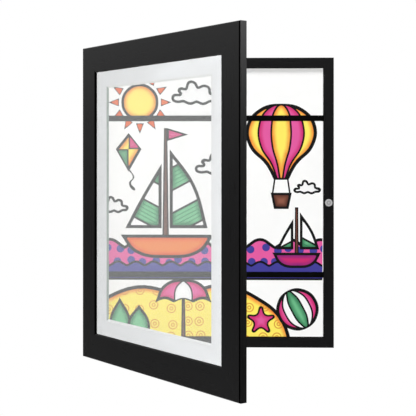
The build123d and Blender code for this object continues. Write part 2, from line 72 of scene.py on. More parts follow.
# The open door's directions, middle and sizes
DOOR_TURN = -math.radians(52.5)
DOOR_ALONG = Vector((math.cos(DOOR_TURN), math.sin(DOOR_TURN), 0))
DOOR_OUT = Vector((math.sin(DOOR_TURN), -math.cos(DOOR_TURN), 0))
DOOR_TOP_LOW, DOOR_TOP_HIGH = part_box("door_top_rail")
DOOR_MIDDLE = (DOOR_TOP_LOW + DOOR_TOP_HIGH) / 2
DOOR_MIDDLE.z = 0
DOOR_THICK = 8.5 * MM
DOOR_SPAN = DOOR_TOP_HIGH.x - DOOR_TOP_LOW.x
DOOR_HALF = ((DOOR_SPAN - abs(DOOR_OUT.x) * DOOR_THICK) / DOOR_ALONG.x / 2, DOOR_TOP_HIGH.z)
DOOR_RAIL = DOOR_TOP_HIGH.z - DOOR_TOP_LOW.z

# The box, the sheet in it, and the directions on the sheet while it lies flat
BOX_TOP_LOW, BOX_TOP_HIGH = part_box("box_top_rail")
BOX_HALF = (BOX_TOP_HIGH.x, BOX_TOP_HIGH.z)
BOX_RAIL = BOX_TOP_HIGH.z - BOX_TOP_LOW.z
PAPER_TRIM = 0.1 * MM
PAPER_HALF = (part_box("box_latch_side")[0].x - PAPER_TRIM, BOX_TOP_LOW.z - PAPER_TRIM)
PAPER_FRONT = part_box("drawing_sheet")[0].y
ACROSS = Vector((1, 0, 0))
UP_SHEET = Vector((0, 1, 0))

# The woven straps, and the sheet's notches beside their ends. The angle is in radians
STRAPS = ("upper_strap", "lower_strap")
STRAP_GAP = 0.8 * MM
NOTCH_GAP = 0.2 * MM
STRAP_THICK = 0.62 * MM
STRAP_BEND = 1.25 * MM
STRAP_EDGE = 0.16 * MM
STRAP_TAB_GAP = 0.2 * MM
SHARP_ANGLE = 1.2

# Streaks, as waves per metre along x, y and z
UPRIGHT_GRAIN = (900, 900, 24)
LEVEL_GRAIN = (24, 900, 900)
BRUSHED_GRAIN = (2600, 2600, 60)
EVEN_GRAIN = (500, 500, 500)
WIPED_GRAIN = (60, 60, 22)

# A front so far forward that no arris gets painted shade
NO_ARRIS = -1.0

# Red, green and blue of wear, dust, the dark mitre joints and the painted shade inside the opening, painted
# shade between stacked sheets, and the floor, as shares of light
RUBBED_PAINT = (0.03, 0.03, 0.031)
RUBBED_METAL = (0.8, 0.8, 0.8)
DUST_GREY = (0.25, 0.25, 0.24)
JOINT_AND_SHADE_BLACK = (0.0005, 0.0005, 0.0005)
SHEET_GAP_SHADE = (0.3, 0.29, 0.27)
FLOOR_WHITE = (0.86, 0.86, 0.86)

# Rings of painted shade on the magnet, the strike disc and their screws, where the screw's sink and recess
# lie in shade: radius, and the tone inside it. The 1.5 in a head's middle undoes that shade there
PAD_SHADE_RINGS = ((2.8 * MM, 0.7),)
HEAD_SHADE_RINGS = ((1.2 * MM, 1.5), (2.6 * MM, 0.64))

# The drawing: its layers and mesh, its shade and patterns, and the sun and the ball in millimetres
LAYER = 0.012 * MM
GRID = 1.5 * MM
SAMPLE = 0.4 * MM
SHADE_REACH = 6.5 * MM
RING_PITCH = 19 * MM
DOT_PITCH = 15 * MM
STRIPE_PITCH = 25 * MM
SUN_CENTRE = (-92, 124)
SUN_RAYS = 12
BALL_CENTRE = (103, -132)
BALL_TURN = math.radians(28)

# The studio: each lamp's place and width, the camera's sensor in millimetres and its clip range
KEY_LAMP = ((0.1, -1.15, 1.25), 0.7)
FILL_LAMP = ((-0.75, -2.25, 0.25), 1.5)
EDGE_LAMP = ((1.5, -0.65, 0.82), 1.0)
SENSOR = 36
CLIP_RANGE = (0.05, 60)
WHITE = (1, 1, 1, 1)


def screen(red, green, blue):
    """A colour as it reads on a screen, 0 to 255, made the linear one that Blender takes."""
    shares = (red / 255, green / 255, blue / 255)
    return tuple(s / 12.92 if s < 0.04 else ((s + 0.055) / 1.055) ** 2.4 for s in shares)


def swatch(name, description, *value):
    """A colour setting, its default as it reads on a screen."""
    return FloatVectorProperty(
        name=name, description=description, default=screen(*value), size=3, min=0, max=1, subtype="COLOR"
    )


def number(name, description, value, **limits):
    """A number setting."""
    return FloatProperty(name=name, description=description, default=value, **limits)


class FrameFinish(bpy.types.PropertyGroup):
    """Colours and gloss of the frame's own pieces."""

    paint: swatch("Paint", "Satin black paint on the mouldings", 10, 10, 11)
    paint_roughness: number("Paint roughness", "How matt the paint is", 0.3, min=0, max=1, subtype="FACTOR")
    board: swatch("Mat board", "Face of the window mat", 230, 231, 232)
    board_core: swatch("Mat core", "Cut bevel of the window mat", 252, 253, 252)
    # Painted shade on the bevel at the mat's hinge side
    board_painted_shade: swatch("Mat core shade", "Bevel on the mat's hinge side", 142, 154, 148)
    paper: swatch("Paper", "Drawing paper", 252, 252, 251)
    hardboard: swatch("Hardboard", "Back panel", 58, 50, 45)
    fleck: swatch("Fleck", "Paler flecks in the hardboard", 120, 104, 90)
    glazing: swatch("Glazing", "Tint of the clear sheet", 250, 253, 252)
    glazing_index: number("Glazing index", "Refractive index of the clear sheet", 1.5, min=1, max=2)
    # The veil is partly haze and partly painted reflection of the white room
    glazing_haze_and_reflection: number(
        "Glazing veil", "Share of white that each face of the clear sheet adds, seen at a slant",
        0.115, min=0, max=0.5, subtype="FACTOR",
    )
    nickel: swatch("Nickel", "Plating of the hinges", 196, 196, 198)
    bright_nickel: swatch("Bright nickel", "Plating of the magnet and the strike", 202, 202, 203)
    zinc: swatch("Zinc", "Plating of staples, points, nails and hangers", 186, 188, 190)
    rubber: swatch("Rubber", "Wall pads", 36, 36, 37)
    elastic: swatch("Elastic", "Woven straps", 3, 3, 3)
    strap_rib: number("Strap rib", "Distance between the elastic's ribs", 0.6 * MM, unit="LENGTH")


class DrawingColours(bpy.types.PropertyGroup):
    """Colours of the drawing."""

    ink: swatch("Ink", "Outlines", 9, 9, 10)
    yellow: swatch("Yellow", "Balloon, sun and sand", 253, 235, 102)
    orange: swatch("Orange", "Shade of the yellow, and the hull", 240, 134, 56)
    deep_orange: swatch("Deep orange", "Shade of the orange", 226, 92, 40)
    ring: swatch("Ring", "Rings on the sand", 222, 150, 60)
    green: swatch("Green", "Sails and leaves", 112, 190, 140)
    deep_green: swatch("Deep green", "Shade of the green", 50, 122, 82)
    pink: swatch("Pink", "Sea and ball", 226, 92, 160)
    deep_pink: swatch("Deep pink", "Shade of the pink", 206, 44, 112)
    purple: swatch("Purple", "Shade of the small hull", 140, 40, 120)
    blue: swatch("Blue", "Dots and waves", 66, 62, 150)
    brown: swatch("Brown", "Masts, basket and pole", 142, 88, 70)
    deep_brown: swatch("Deep brown", "Shade of the brown", 84, 46, 36)
    white: swatch("White", "Clouds and blank sails", 252, 252, 252)


class StudioSetup(bpy.types.PropertyGroup):
    """Camera, lamps, background and floor."""

    eye: FloatVectorProperty(
        name="Eye", description="Place of the camera", default=(0.02856, -1.30726, 0.04794), size=3,
        subtype="TRANSLATION",
    )
    heading: number("Heading", "Turn of the camera about the vertical", math.radians(1.596), subtype="ANGLE")
    lens: number("Lens", "Focal length in millimetres", 90.48)
    rise: number("Rise", "Vertical shift of the picture", -0.10656)
    key_power: number("Key lamp", "Power in watts", 12.5)
    fill_power: number("Fill lamp", "Power in watts", 33.0)
    edge_power: number("Edge lamp", "Power in watts", 7.0)
    ambient: number("Ambient", "Strength of the room's light", 0.9)
    floor_drop: number("Floor drop", "How far the floor lies under the frame", 0.55, unit="LENGTH")
    floor_radius: number("Floor radius", "Half of the floor", 1.3, unit="LENGTH")


# Node tools

class Value:
    """A node's output. Arithmetic on it adds Math nodes to its tree."""

    def __init__(self, socket):
        self.socket = socket
        self.tree = socket.id_data

    def out(self, name):
        """Another output of the same node."""
        return Value(self.socket.node.outputs[name])

    def __add__(self, other):
        return calc("ADD", self, other)

    def __sub__(self, other):
        return calc("SUBTRACT", self, other)

    def __rsub__(self, other):
        return calc("SUBTRACT", other, self)

    def __mul__(self, other):
        return calc("MULTIPLY", self, other)

    def __truediv__(self, other):
        return calc("DIVIDE", self, other)

    def __rtruediv__(self, other):
        return calc("DIVIDE", other, self)

    def __lt__(self, other):
        return calc("LESS_THAN", self, other)

    def __abs__(self):
        return calc("ABSOLUTE", self)


def feed(socket, value):
    """Links a node's output to an input, or sets the input's own value."""
    if isinstance(value, Value):
        value.tree.links.new(value.socket, socket)
    else:
        socket.default_value = value


def put(tree, kind, inputs=None, **settings):
    """Adds a shader node, sets its options, feeds its inputs and gives its first output."""
    node = tree.nodes.new(f"ShaderNode{kind}")
    for name, value in settings.items():
        setattr(node, name, value)
    for name, value in (inputs or {}).items():
        feed(node.inputs[name], value)
    return Value(node.outputs[0])


def calc(operation, *values, **settings):
    """A Math node's result."""
    tree = next(value.tree for value in values if isinstance(value, Value))
    return put(tree, "Math", dict(enumerate(values)), operation=operation, **settings)


def larger(first, second):
    """The larger of two numbers."""
    return calc("MAXIMUM", first, second)


def zigzag(value, height):
    """A number that rises to a height and falls back, over and over."""
    return calc("PINGPONG", value, height)


def fade(value, start, end, low=0.0, high=1.0):
    """The value's place between start and end, smoothed, as a number from low to high."""
    span = {"Value": value, "From Min": start, "From Max": end, "To Min": low, "To Max": high}
    return put(value.tree, "MapRange", span, interpolation_type="SMOOTHSTEP")


def tint(share, first, second):
    """Two colours, each a node's output or red, green and blue, mixed by a share."""
    first, second = (c if isinstance(c, Value) else (*c[:3], 1) for c in (first, second))
    return put(share.tree, "Mix", {0: share, 6: first, 7: second}, data_type="RGBA").out(2)


def toned(colour, level):
    """A colour made darker or brighter by a number."""
    return put(level.tree, "VectorMath", {0: colour, "Scale": level}, operation="SCALE")


def stretched(vector, scale):
    """A vector with each of its parts scaled."""
    return put(vector.tree, "VectorMath", {0: vector, 1: scale}, operation="MULTIPLY")


def along(vector, way):
    """How far a vector reaches along a direction."""
    return put(vector.tree, "VectorMath", {0: vector, 1: way}, operation="DOT_PRODUCT").out("Value")


def split(vector):
    """A vector's x, y and z."""
    parts = put(vector.tree, "SeparateXYZ", {0: vector})
    return parts, parts.out("Y"), parts.out("Z")


def flat(first, second):
    """A vector on a plane."""
    return put(first.tree, "CombineXYZ", {"X": first, "Y": second})


def distance(vector):
    """A vector's length."""
    return put(vector.tree, "VectorMath", {0: vector}, operation="LENGTH").out("Value")


def noise(vector, scale, detail):
    """Clouded noise."""
    return put(vector.tree, "TexNoise", {"Vector": vector, "Scale": scale, "Detail": detail})


def normal_in(tree):
    """The surface's direction in object coordinates."""
    return put(tree, "TexCoord").out("Normal")


def place_in(tree, centre=(0, 0, 0), turn=0.0):
    """Object coordinates seen from a centre and a turn about the vertical."""
    place = {"Vector": put(tree, "TexCoord").out("Object"), "Location": centre, "Rotation": (0, 0, turn)}
    return put(tree, "Mapping", place, vector_type="TEXTURE")


def looked_at(tree):
    """1 for the camera's rays, also those that pass through glass."""
    path = put(tree, "LightPath")
    return larger(path.out("Is Camera Ray"), path.out("Is Transmission Ray"))


# Effects that the materials share: each turns a group's vector and numbers into its outputs

def streaks(vector, contrast):
    """Fine lines that run where the vector was stretched, over slow changes of tone."""
    fine = noise(vector, 1.0, 3.0)
    slow = noise(vector, 0.07, 2.0)
    return (fine * 0.6 + slow * 0.4 - 0.5) * contrast + 1.0, fine


def rubbed_edges(vector, width):
    """Outer edges, where handling rubs a finish, broken up by a slow noise."""
    rounded = put(vector.tree, "Bevel", {"Radius": width}, samples=4)
    true_normal = put(vector.tree, "NewGeometry").out("True Normal")
    return (fade(along(rounded, true_normal), 0.995, 0.9) * fade(noise(vector, 90.0, 4.0), 0.42, 0.62),)


def fibres(vector, size):
    """Matted fibres of paper and board."""
    scale = 1.0 / size
    fine = noise(vector, scale, 5.0)
    slow = noise(vector, scale * 0.03, 2.0)
    return (fine * 0.5 + slow * 0.5 - 0.5) * 0.07 + 1.0, fine


def dust(vector, amount):
    """Faint dust on what faces up."""
    _, _, up = split(normal_in(vector.tree))
    lying = fade(up, 0.6, 0.95) * fade(noise(vector, 700.0, 6.0), 0.45, 0.75)
    return (lying * fade(noise(vector, 24.0, 2.0), 0.35, 0.7) * amount,)


def mitres_and_painted_shade(vector, half_width, half_height, rail, line, lip, front, arris):
    """The hairlines of the mitres, and masks of painted shade: on the faces inside the opening with a strip
    of the front beside them, and along the front arris of the stiles.
    """
    x, y, z = split(vector)
    side = abs(x) - half_width
    end = abs(z) - half_height
    inner = fade((larger(side, end) + rail) / lip, 1.0, 0.7)
    edge = fade(side * -1.0 / arris, 1.0, 0.4) * (y - front < line)
    return abs(side - end) < line, inner, edge


def elastic_weave(vector, rib):
    """Braided elastic: ribs along the band, crossed by a fine zigzag of threads."""
    x, y, _ = split(vector)
    ribs = zigzag(y / rib, 0.5)
    shift = calc("FLOOR", y / rib) * 0.5
    height = ribs * 1.1 + zigzag(x / rib + shift + ribs, 0.5) * 0.9
    return fade(height, 0.1, 0.9, 0.45, 1.6), height


GROUPS = (
    ("Streaks", streaks, {"Contrast": 0.5}, ("Tone", "Height")),
    ("Rubbed edges", rubbed_edges, {"Width": 0.6 * MM}, ("Mask",)),
    ("Fibres", fibres, {"Size": 0.5 * MM}, ("Tone", "Height")),
    ("Dust", dust, {"Amount": 0.2}, ("Mask",)),
    # The Inner and Arris outputs mask painted shade, and Lip and Arris set how wide it is
    (
        "Mitres and painted shade", mitres_and_painted_shade,
        {"Half width": 0.1, "Half height": 0.1, "Rail": 0.02, "Line": 0.3 * MM, "Lip": 0.5 * MM, "Front": 0.0,
         "Arris": 1.9 * MM},
        ("Mitre", "Inner", "Arris"),
    ),
    ("Elastic weave", elastic_weave, {"Rib": 0.6 * MM}, ("Tone", "Height")),
)


def build_group(name, effect, numbers, outputs):
    """Builds a shader group round an effect, with its numbers' defaults and its outputs' names."""
    tree = bpy.data.node_groups.new(name, "ShaderNodeTree")
    tree.interface.new_socket(name="Vector", in_out="INPUT", socket_type="NodeSocketVector")
    for label, default in numbers.items():
        socket = tree.interface.new_socket(name=label, in_out="INPUT", socket_type="NodeSocketFloat")
        socket.default_value = default
    for label in outputs:
        tree.interface.new_socket(name=label, in_out="OUTPUT", socket_type="NodeSocketFloat")
    given = tree.nodes.new("NodeGroupInput").outputs
    made = tree.nodes.new("NodeGroupOutput").inputs
    results = effect(*(Value(given[label]) for label in ("Vector", *numbers)))
    for label, result in zip(outputs, results):
        feed(made[label], result)


def use(vector, group, **numbers):
    """Places a group's node on a vector and gives its first output."""
    inputs = {name.replace("_", " "): value for name, value in numbers.items()}
    inputs["Vector"] = vector
    return put(vector.tree, "Group", inputs, node_tree=bpy.data.node_groups[group])


# Materials of the frame

def new_material(name):
    """A material, its node tree and its shader's inputs."""
    material = bpy.data.materials.new(name)
    material.use_nodes = True
    tree = material.node_tree
    return material, tree, tree.nodes["Principled BSDF"].inputs


def coat(shader, colour, roughness, height, depth, strength=0.5):
    """Gives a shader its colour, its roughness and the relief of a height."""
    relief = {"Height": height, "Distance": depth, "Strength": strength}
    feed(shader["Base Color"], colour)
    feed(shader["Roughness"], roughness)
    feed(shader["Normal"], put(height.tree, "Bump", relief))


def paint_material(name, centre, turn, half, rail, front, lip, grain, finish):
    """Satin paint on wood, streaked along the rail and rubbed at its edges, with painted shade inside the
    opening and along the stiles' front arris: black, rough and metallic there.
    """
    material, tree, shader = new_material(name)
    local = place_in(tree, centre, turn)
    tone = use(stretched(local, grain), "Streaks", Contrast=0.5)
    streak = tone.out("Height")
    lying = use(local, "Dust", Amount=0.25)
    mitre = use(local, "Mitres and painted shade", Half_width=half[0], Half_height=half[1], Rail=rail, Front=front, Lip=lip)
    # Painted shade on the faces inside the opening, a strip of the front beside them and the stiles' front
    # arris; the mitres' hairlines are dark joints
    painted_shade = larger(mitre.out("Inner"), mitre.out("Arris"))
    worn = tint(use(local, "Rubbed edges") * 0.25, toned(finish.paint, tone), RUBBED_PAINT)
    dusty = tint(lying, worn, DUST_GREY)
    face = tint(larger(mitre, painted_shade) * 0.9, dusty, JOINT_AND_SHADE_BLACK)
    matt = larger(streak * 0.16 + (finish.paint_roughness - 0.08), painted_shade * 0.9)
    coat(shader, face, calc("ADD", matt, lying * 0.3, use_clamp=True), streak - mitre, 0.04 * MM)
    # Metallic on the painted shade darkens its gloss as well
    feed(shader["Metallic"], painted_shade)
    return material


def board_material(name, finish):
    """Mat board: a fibrous face, and its pale core where the bevel cuts through, with painted light: the
    core's colour on bevels that face down, the face's colour on those that face up, and a painted shade on
    the hinge side.
    """
    material, tree, shader = new_material(name)
    tone = use(place_in(tree, DOOR_MIDDLE, DOOR_TURN), "Fibres", Size=0.7 * MM)
    normal = normal_in(tree)
    _, _, up = split(normal)
    # Painted light: bevels facing down are painted paler than those facing up
    level = tint(fade(up, -0.3, 0.3), finish.board_core, finish.board)
    # Painted shade on the bevel on the hinge side
    core = tint(fade(along(normal, DOOR_ALONG), 0.3, 0.6), level, finish.board_painted_shade)
    cut_through = fade(abs(along(normal, DOOR_OUT)), 0.97, 0.8)
    coat(shader, tint(cut_through, toned(finish.board, tone), core), 0.85, tone.out("Height"), 0.03 * MM)
    return material


def paper_material(name, colour, layered=False):
    """Drawing paper, and for the stack painted shade in lines between its sheets' edges."""
    material, tree, shader = new_material(name)
    local = place_in(tree)
    tone = use(local, "Fibres", Size=0.4 * MM)
    face, height = toned(colour, tone), tone.out("Height")
    if layered:
        _, depth, _ = split(local)
        _, facing, _ = split(normal_in(tree))
        # Painted shade in the gaps between the stacked sheets, on the stack's edges
        gap = zigzag(depth / (0.2 * MM), 0.5)
        lines = fade(gap, 0.2, 0.0) * fade(abs(facing), 0.5, 0.3)
        face = tint(lines * 0.4, face, SHEET_GAP_SHADE)
        height = height + gap
    coat(shader, face, 0.9, height, 0.02 * MM)
    feed(shader["Specular IOR Level"], 0.25)
    return material


def hardboard_material(name, finish):
    """Dark hardboard with pressed fibres and paler flecks."""
    material, tree, shader = new_material(name)
    local = place_in(tree)
    tone = use(local, "Fibres", Size=1.2 * MM)
    height = tone.out("Height")
    flecks = put(tree, "TexVoronoi", {"Vector": local, "Scale": 420.0, "Randomness": 1.0}).out("Distance")
    face = tint(fade(flecks, 0.22, 0.08, 0, 0.5), toned(finish.hardboard, tone), finish.fleck)
    coat(shader, face, fade(height, 0.3, 0.7, 0.6, 0.78), height, 0.08 * MM)
    return material


def plated_material(name, colour, grain, contrast, spangle):
    """Plated metal: brushed along one direction, or with the pale crystals of zinc."""
    material, tree, shader = new_material(name)
    local = place_in(tree)
    tone = use(stretched(local, grain), "Streaks", Contrast=contrast)
    height = tone.out("Height")
    crystals = put(tree, "TexVoronoi", {"Vector": local, "Scale": 900.0}).out("Color")
    level = tone * fade(put(tree, "SeparateColor", {0: crystals}), 0.0, 1.0, 1 - spangle, 1 + spangle)
    rubbed = use(local, "Rubbed edges", Width=0.2 * MM) * 0.4
    face = tint(rubbed, toned(colour, level), RUBBED_METAL)
    coat(shader, face, fade(height, 0.25, 0.75, 0.24, 0.42), height, 0.01 * MM)
    feed(shader["Metallic"], 1.0)
    return material


def turned_material(name, colour, centre, turn, metallic, rings):
    """Satin plating turned about a level axis, with a tone for each ring of painted shade."""
    material, tree, shader = new_material(name)
    x, _, z = split(place_in(tree, centre, turn))
    radius = distance(flat(x, z))
    marks = put(tree, "TexNoise", {"Scale": 9000.0, "Detail": 2.0, "W": radius}, noise_dimensions="1D")
    level = marks * 0.2 + 0.9
    # Painted shade in rings where the screw's sink and recess lie
    for edge, tone in rings:
        level = level * fade(radius, edge - 0.1 * MM, edge + 0.1 * MM, tone, 1.0)
    coat(shader, toned(colour, level), fade(marks, 0.3, 0.7, 0.3, 0.46), marks, 0.01 * MM)
    feed(shader["Metallic"], metallic)
    return material


def rubber_material(name, colour):
    """Matt rubber with a fine grain."""
    material, tree, shader = new_material(name)
    tone = use(place_in(tree), "Fibres", Size=0.3 * MM)
    height = tone.out("Height")
    coat(shader, toned(colour, tone), fade(height, 0.3, 0.7, 0.6, 0.8), height, 0.03 * MM)
    return material


def glazing_material(name, finish):
    """A clear sheet with a pale white veil, partly haze and partly painted reflection of the white room, that
    thickens as it turns away, and faint wipe marks in its gloss.
    """
    material, tree, shader = new_material(name)
    wipes = noise(stretched(place_in(tree, DOOR_MIDDLE, DOOR_TURN), WIPED_GRAIN), 1.0, 3.0)
    slant = put(tree, "LayerWeight", {"Blend": 0.5}).out("Facing")
    # White that stands partly for haze and partly for painted reflection, stronger at a slant
    veil = fade(slant, 0.0, 0.9, finish.glazing_haze_and_reflection * 0.3, finish.glazing_haze_and_reflection * 1.9)
    feed(shader["Base Color"], (*finish.glazing, 1))
    feed(shader["IOR"], finish.glazing_index)
    feed(shader["Roughness"], fade(wipes, 0.35, 0.75, 0.06, 0.1))
    feed(shader["Alpha"], veil * (1.0 - put(tree, "LightPath").out("Is Shadow Ray")))
    return material


def elastic_material(name, finish):
    """Woven elastic, ribbed along its length and matt."""
    material, tree, shader = new_material(name)
    tone = use(put(tree, "UVMap", uv_map="Band"), "Elastic weave", Rib=finish.strap_rib)
    height = tone.out("Height")
    coat(shader, toned(finish.elastic, tone), fade(height, 0.1, 0.9, 0.98, 0.85), height, 0.1 * MM, 0.8)
    feed(shader["Specular IOR Level"], 0.1)
    return material


# Paints of the drawing

def drawing_paint(name, colour, shade, ink, pattern=None, *details):
    """Marker colour, a pattern over it, its shade beside the ink, and the ink line along the shape's edge."""
    _, tree, shader = new_material(f"drawing_{name}")
    local = place_in(tree)
    inside, stroke = (put(tree, "Attribute", attribute_name=kind).out("Fac") for kind in ("inside", "stroke"))
    grain = use(local, "Fibres", Size=0.6 * MM)
    near = fade(inside, 0.0, SHADE_REACH, 1.0, 0.0) * fade(noise(local, 70.0, 3.0), 0.3, 0.7, 0.75, 1.0)
    face = toned(tint(near, colour, shade), grain)
    if pattern:
        face = pattern(local, face, *details)
    coat(shader, tint(fade(stroke, 1.06, 0.96), face, ink), 0.8, grain.out("Height"), 0.02 * MM)
    feed(shader["Specular IOR Level"], 0.25)


def cells(local, pitch, randomness):
    """Distance from the middle of the nearest of the cells strewn over the sheet, as a share of the pitch."""
    x, _, z = split(local)
    values = {"Vector": flat(x, z), "Scale": 1 / pitch, "Randomness": randomness}
    return put(local.tree, "TexVoronoi", values, voronoi_dimensions="2D").out("Distance")


def ringed(local, face, ring):
    """Strews small double rings."""
    spots = cells(local, RING_PITCH, 0.35)
    outer, inner = (fade(abs(spots - radius), 0.045, 0.025) for radius in (0.27, 0.1))
    return tint(larger(outer, inner) * 0.9, face, ring)


def dotted(local, face, dot):
    """Strews round dots."""
    return tint(fade(cells(local, DOT_PITCH, 0.3), 0.33, 0.31), face, dot)


def striped(local, face, shade, white, ink, angle):
    """Parts the colour into bands with white, inked where they meet, and pencils fine lines in it."""
    reach = along(local, (math.cos(angle), 0, math.sin(angle)))
    place = zigzag(reach / STRIPE_PITCH, 1.0)
    pencil = fade(zigzag(reach / (STRIPE_PITCH * 0.09), 1.0), 0.55, 0.95) * 0.8
    banded = tint(calc("GREATER_THAN", place, 0.5), tint(pencil, face, shade), white)
    return tint(fade(abs(place - 0.5), 0.05, 0.038), banded, ink)


# Shapes of the drawing, in millimetres on the sheet: x, height, and "corner" where the line turns sharply

def corners(*points):
    """Points at which the line turns sharply."""
    return tuple((*point, "corner") for point in points)


def ellipse(x, z, half_width, half_height):
    """Eight points round an ellipse."""
    turns = [2 * math.pi * step / 8 for step in range(8)]
    return [(x + half_width * math.cos(a), z + half_height * math.sin(a)) for a in turns]


CLOUD_RING = (
    (-0.5, -0.6, "corner"), (-0.22, -0.78), (0.05, -0.64, "corner"), (0.32, -0.8), (0.6, -0.61, "corner"),
    (0.93, -0.5), (0.98, -0.1), (0.64, 0.12, "corner"), (0.6, 0.5), (0.36, 0.7), (0.12, 0.56, "corner"),
    (-0.02, 0.92), (-0.3, 0.94), (-0.42, 0.46, "corner"), (-0.66, 0.48), (-0.74, 0.24),
    (-0.66, 0.04, "corner"), (-0.94, -0.04), (-0.98, -0.42), (-0.8, -0.63),
)


def cloud(x, z, half_width, half_height):
    """A cloud of rounded puffs over a nearly level base."""
    return [(x + half_width * right, z + half_height * up, *corner) for right, up, *corner in CLOUD_RING]


def waves(left, right, crest, valley, bottom, count):
    """A band with a row of rounded waves along its top."""
    span = (right - left) / count
    points = [*corners((right, bottom), (left, bottom), (left, valley))]
    for step in range(count):
        x = left + span * step
        points += [(x + span * 0.5, crest), (x + span, valley, "corner")]
    return points


def balloon(x, z, share):
    """A balloon's envelope, its width at a share of the whole."""
    rows = ((1.0, 0.0), (0.86, 0.62), (0.38, 1.0), (-0.2, 0.92), (-0.72, 0.44))
    right = [(x + share * 43 * w, z + 44 * h) for h, w in rows]
    left = [(x - share * 43 * w, z + 44 * h) for h, w in reversed(rows[1:])]
    return [*right, *corners((x + share * 9, z - 50), (x - share * 9, z - 50)), *left]


def star(x, z, reach, arms):
    """A star with blunt arms."""
    points = []
    for step in range(2 * arms):
        a = 2 * math.pi * step / (2 * arms) + math.pi / 2
        r = 0.55 * reach if step % 2 else reach
        points.append((x + r * math.cos(a), z + r * math.sin(a)))
    return points


def turned_about(points, centre, angle):
    """The points of a shape turned about a centre on the sheet."""
    c, s = math.cos(angle), math.sin(angle)
    spun = []
    for x, z, *corner in points:
        dx, dz = x - centre[0], z - centre[1]
        spun.append((centre[0] + c * dx - s * dz, centre[1] + s * dx + c * dz, *corner))
    return spun


def ray(step):
    """One of the sun's rays."""
    x, z = SUN_CENTRE
    upright = corners((x - 5, z + 26), (x + 5, z + 26), (x, z + 39))
    return turned_about(upright, SUN_CENTRE, 2 * math.pi * step / SUN_RAYS)


# The pieces of the drawing: layers from the back, each of shapes with a paint, an ink width and points

SKY_LAYERS = (
    (
        ("white", 3.2, cloud(-23, 134, 30, 17)),
        ("white", 3.2, cloud(6, 46, 30, 16)),
        ("white", 3.0, cloud(-125, -4, 19, 12)),
        ("white", 2.6, cloud(115, 18, 17, 10)),
    ),
)
SUN_LAYERS = (
    [("orange", 0.8, ray(step)) for step in range(SUN_RAYS)],
    (("yellow", 3.2, ellipse(*SUN_CENTRE, 23, 23)),),
)
KITE_LAYERS = (
    (
        ("yellow", 3.2, corners((-106, 86), (-90, 66), (-106, 38), (-122, 66))),
        (
            "ink", 0,
            (*corners((-106, 40), (-104, 40)), (-99, 31), (-103, 24), (-98, 15), (-100, 15), (-105.5, 24),
             (-101, 31)),
        ),
    ),
    (
        ("pink", 1.6, corners((-106, 86), (-90, 66), (-106, 66))),
        ("green", 1.6, corners((-106, 38), (-122, 66), (-106, 66))),
    ),
)
BALLOON_LAYERS = (
    (("yellow", 4.2, balloon(83, 78, 1.0)),),
    (("pink", 2.2, balloon(83, 78, 0.66)),),
    (("yellow", 2.2, balloon(83, 78, 0.3)),),
    (
        ("brown", 3.0, corners((70, 12), (96, 12), (92, -8), (74, -8))),
        ("ink", 0, corners((74, 29), (76, 29), (73.5, 12), (71.5, 12))),
        ("ink", 0, corners((90, 29), (92, 29), (94.5, 12), (92.5, 12))),
    ),
)
SEA_LAYERS = (
    (("dotted_pink", 3.6, waves(-148, 150, -44, -54, -96, 8)),),
    (("blue", 2.6, waves(-152, 156, -72, -77, -96, 14)),),
)
BOAT_LAYERS = (
    (
        ("striped_rising", 3.8, ((-55, 66, "corner"), (-24, 22), *corners((-8, -32), (-55, -32)))),
        ("striped_falling", 3.8, ((-65, 48, "corner"), (-90, 6), *corners((-110, -32), (-65, -32)))),
        ("pink", 2.0, corners((-58, 92), (-58, 76), (-32, 84))),
        ("striped_falling", 3.2, ((106, -12, "corner"), (122, -36), *corners((130, -58), (106, -58)))),
        ("striped_rising", 3.2, ((98, -20, "corner"), (86, -40), *corners((77, -58), (98, -58)))),
    ),
    (
        ("brown", 1.6, corners((-62, 92), (-58, 92), (-56, -42), (-64, -42))),
        ("brown", 1.3, corners((100, -6), (104, -6), (104.5, -64), (99.5, -64))),
    ),
    (
        ("orange", 3.8, (*corners((-116, -40), (0, -40)), (-18, -62), (-58, -69), (-98, -62))),
        ("deep_pink", 3.2, (*corners((72, -62), (132, -62)), (122, -77), (102, -81), (82, -77))),
    ),
)
PARASOL_RIM = (
    (-3, -124, "corner"), (-14, -120), (-26, -124, "corner"), (-38, -120), (-50, -124, "corner"), (-61, -120),
    (-73, -124, "corner"),
)
SHORE_LAYERS = (
    (
        (
            "ringed_yellow", 4.2,
            (*corners((-150, -180), (-150, -124)), (-96, -103), (-40, -110), (12, -101), (58, -119),
             (84, -142), (98, -180, "corner")),
        ),
    ),
    (
        (
            "green", 3.0,
            ((-124, -180, "corner"), (-130, -146), (-117, -118, "corner"), (-103, -146),
             (-106, -180, "corner")),
        ),
        ("brown", 1.4, corners((-40, -120), (-36, -120), (-35, -180), (-41, -180))),
        ("pink", 2.2, star(58, -146, 18, 5)),
    ),
    (
        (
            "green", 3.0,
            ((-100, -180, "corner"), (-107, -148), (-93, -127, "corner"), (-80, -148), (-84, -180, "corner")),
        ),
        ("pink", 3.4, (*PARASOL_RIM, (-62, -102), (-38, -95), (-14, -102))),
    ),
    (
        (
            "white", 1.8,
            ((-50, -124, "corner"), (-38, -120), (-26, -124, "corner"), (-28, -106), (-38, -95, "corner"),
             (-48, -106)),
        ),
    ),
)
BALL_LAYERS = tuple(
    ((paint, ink_width, turned_about(ellipse(*BALL_CENTRE, half_width, 26), BALL_CENTRE, BALL_TURN)),)
    for paint, ink_width, half_width in (("pink", 3.8, 26), ("white", 2.0, 17), ("green", 2.0, 8))
)
